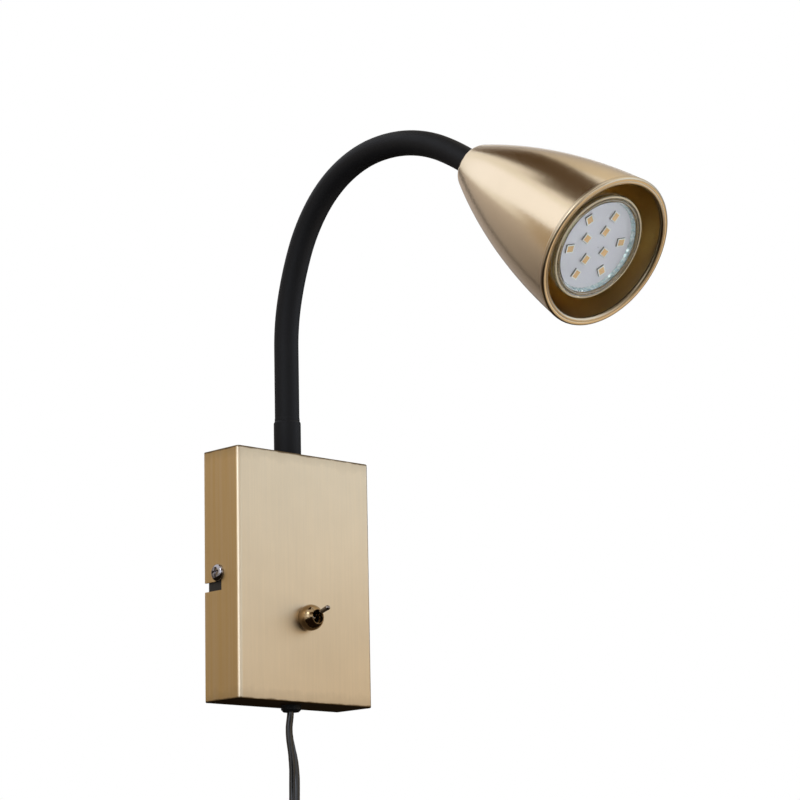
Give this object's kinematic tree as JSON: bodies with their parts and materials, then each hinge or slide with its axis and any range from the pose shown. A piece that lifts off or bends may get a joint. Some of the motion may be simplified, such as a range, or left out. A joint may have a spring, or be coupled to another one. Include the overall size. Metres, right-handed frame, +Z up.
{
  "type": "plug-in wall lamp",
  "caption": "Wall lamp with a folded brass box, toggle switch, bendable black neck and a flared brass shade round a twist-lock reflector bulb, on a corded plug.",
  "frame": {"origin": "middle of the bracket's two wall-screw slots, on the wall plane, at half the height of the box", "axes": "+Z up the wall, +X to the right along the wall as seen from the room, +Y into the wall, so the lamp faces -Y"},
  "size_m": [0.0888, 0.2415, 0.5207],
  "materials": {
    "brass": "satin brushed",
    "polished_brass": "polished",
    "black_steel": "matte",
    "nickel": "polished",
    "steel": "plain",
    "neck_core": "plain",
    "neck_black": "matte",
    "black_plastic": "satin",
    "ceramic": "matte",
    "bulb_glass": "clear",
    "board": "satin",
    "chips": "gloss",
    "clear_plastic": "gloss",
    "cord_black": "gloss",
    "plug_metal": "plain"
  },
  "bodies": {
    "base": {"wall_cover": "brass", "wall_bracket": "black_steel", "cover_screws": "nickel", "switch_body": "black_plastic", "switch_bushing": "nickel", "switch_ball_nut": "polished_brass", "switch_washer": "steel", "switch_back_nut": "steel", "switch_terminals": "steel", "neck_fitting": "steel", "neck_collar": "neck_black", "neck_washer": "steel", "neck_nut": "steel", "wiring_block": "clear_plastic", "cord_grommet": "black_plastic", "power_cord": "cord_black", "cord_coil": "cord_black", "cord_tie": "cord_black", "cord_tail": "cord_black", "plug_body": "black_plastic", "plug_pins": "plug_metal"},
    "link_1": {"neck_sleeve_1": "neck_black", "neck_core_1": "neck_core"},
    "link_2": {"neck_sleeve_2": "neck_black", "neck_core_2": "neck_core"},
    "link_3": {"neck_sleeve_3": "neck_black", "neck_core_3": "neck_core"},
    "link_4": {"neck_sleeve_4": "neck_black", "neck_core_4": "neck_core"},
    "link_5": {"neck_sleeve_5": "neck_black", "neck_core_5": "neck_core"},
    "link_6": {"neck_sleeve_6": "neck_black", "neck_core_6": "neck_core"},
    "link_7": {"neck_sleeve_7": "neck_black", "neck_core_7": "neck_core"},
    "link_8": {"neck_sleeve_8": "neck_black", "neck_core_8": "neck_core"},
    "link_9": {"neck_sleeve_9": "neck_black", "neck_core_9": "neck_core"},
    "head": {"neck_sleeve_10": "neck_black", "neck_core_10": "neck_core", "head_fitting": "neck_black", "shade": "brass", "head_washer": "steel", "head_nut": "steel", "holder_plate": "steel", "holder_nut": "steel", "lamp_holder": "ceramic", "holder_screws": "steel"},
    "bulb": {"bulb_body": "bulb_glass", "bulb_lens": "bulb_glass", "chip_board": "board", "light_chips": "chips", "bulb_pins": "nickel"},
    "lever": {"switch_lever": "nickel"}
  },
  "joints": [
    {"name": "lean_1", "type": "hinge", "parent": "base", "child": "link_1", "pos_m": [0, -0.0126, 0.082], "axis": [0, 1, 0], "range_deg": [-12, 12]},
    {"name": "lean_2", "type": "hinge", "parent": "link_1", "child": "link_2", "pos_m": [0, -0.0126, 0.0985], "axis": [0, 1, 0], "range_deg": [-12, 12]},
    {"name": "nod_1", "type": "hinge", "parent": "link_2", "child": "link_3", "pos_m": [0, -0.0126, 0.115], "axis": [1, 0, 0], "range_deg": [-12, 6]},
    {"name": "nod_2", "type": "hinge", "parent": "link_3", "child": "link_4", "pos_m": [0, -0.0155, 0.13866], "axis": [1, 0, 0], "range_deg": [-12, 6]},
    {"name": "nod_3", "type": "hinge", "parent": "link_4", "child": "link_5", "pos_m": [0, -0.02328, 0.16123], "axis": [1, 0, 0], "range_deg": [-12, 6]},
    {"name": "nod_4", "type": "hinge", "parent": "link_5", "child": "link_6", "pos_m": [0, -0.03641, 0.18107], "axis": [1, 0, 0], "range_deg": [-12, 6]},
    {"name": "nod_5", "type": "hinge", "parent": "link_6", "child": "link_7", "pos_m": [0, -0.05573, 0.19486], "axis": [1, 0, 0], "range_deg": [-12, 6]},
    {"name": "nod_6", "type": "hinge", "parent": "link_7", "child": "link_8", "pos_m": [0, -0.07884, 0.2004], "axis": [1, 0, 0], "range_deg": [-12, 6]},
    {"name": "nod_7", "type": "hinge", "parent": "link_8", "child": "link_9", "pos_m": [0, -0.10258, 0.19833], "axis": [1, 0, 0], "range_deg": [-12, 6]},
    {"name": "nod_8", "type": "hinge", "parent": "link_9", "child": "head", "pos_m": [0, -0.1249, 0.18998], "axis": [1, 0, 0], "range_deg": [-12, 6]},
    {"name": "bulb_twist", "type": "hinge", "parent": "head", "child": "bulb", "pos_m": [0, -0.14503, 0.17715], "axis": [0.0488, -0.7971, -0.6018], "range_deg": [0, 30]},
    {"name": "switch_toggle", "type": "hinge", "parent": "base", "child": "lever", "pos_m": [0, -0.0285, -0.0195], "axis": [1, 0, 0], "range_deg": [0, 33]}
  ],
  "couplings": [
    {"joint": "lean_2", "follows": "lean_1", "ratio": 1},
    {"joint": "nod_2", "follows": "nod_1", "ratio": 1},
    {"joint": "nod_3", "follows": "nod_1", "ratio": 1},
    {"joint": "nod_4", "follows": "nod_1", "ratio": 1},
    {"joint": "nod_5", "follows": "nod_1", "ratio": 1},
    {"joint": "nod_6", "follows": "nod_1", "ratio": 1},
    {"joint": "nod_7", "follows": "nod_1", "ratio": 1},
    {"joint": "nod_8", "follows": "nod_1", "ratio": 1}
  ]
}
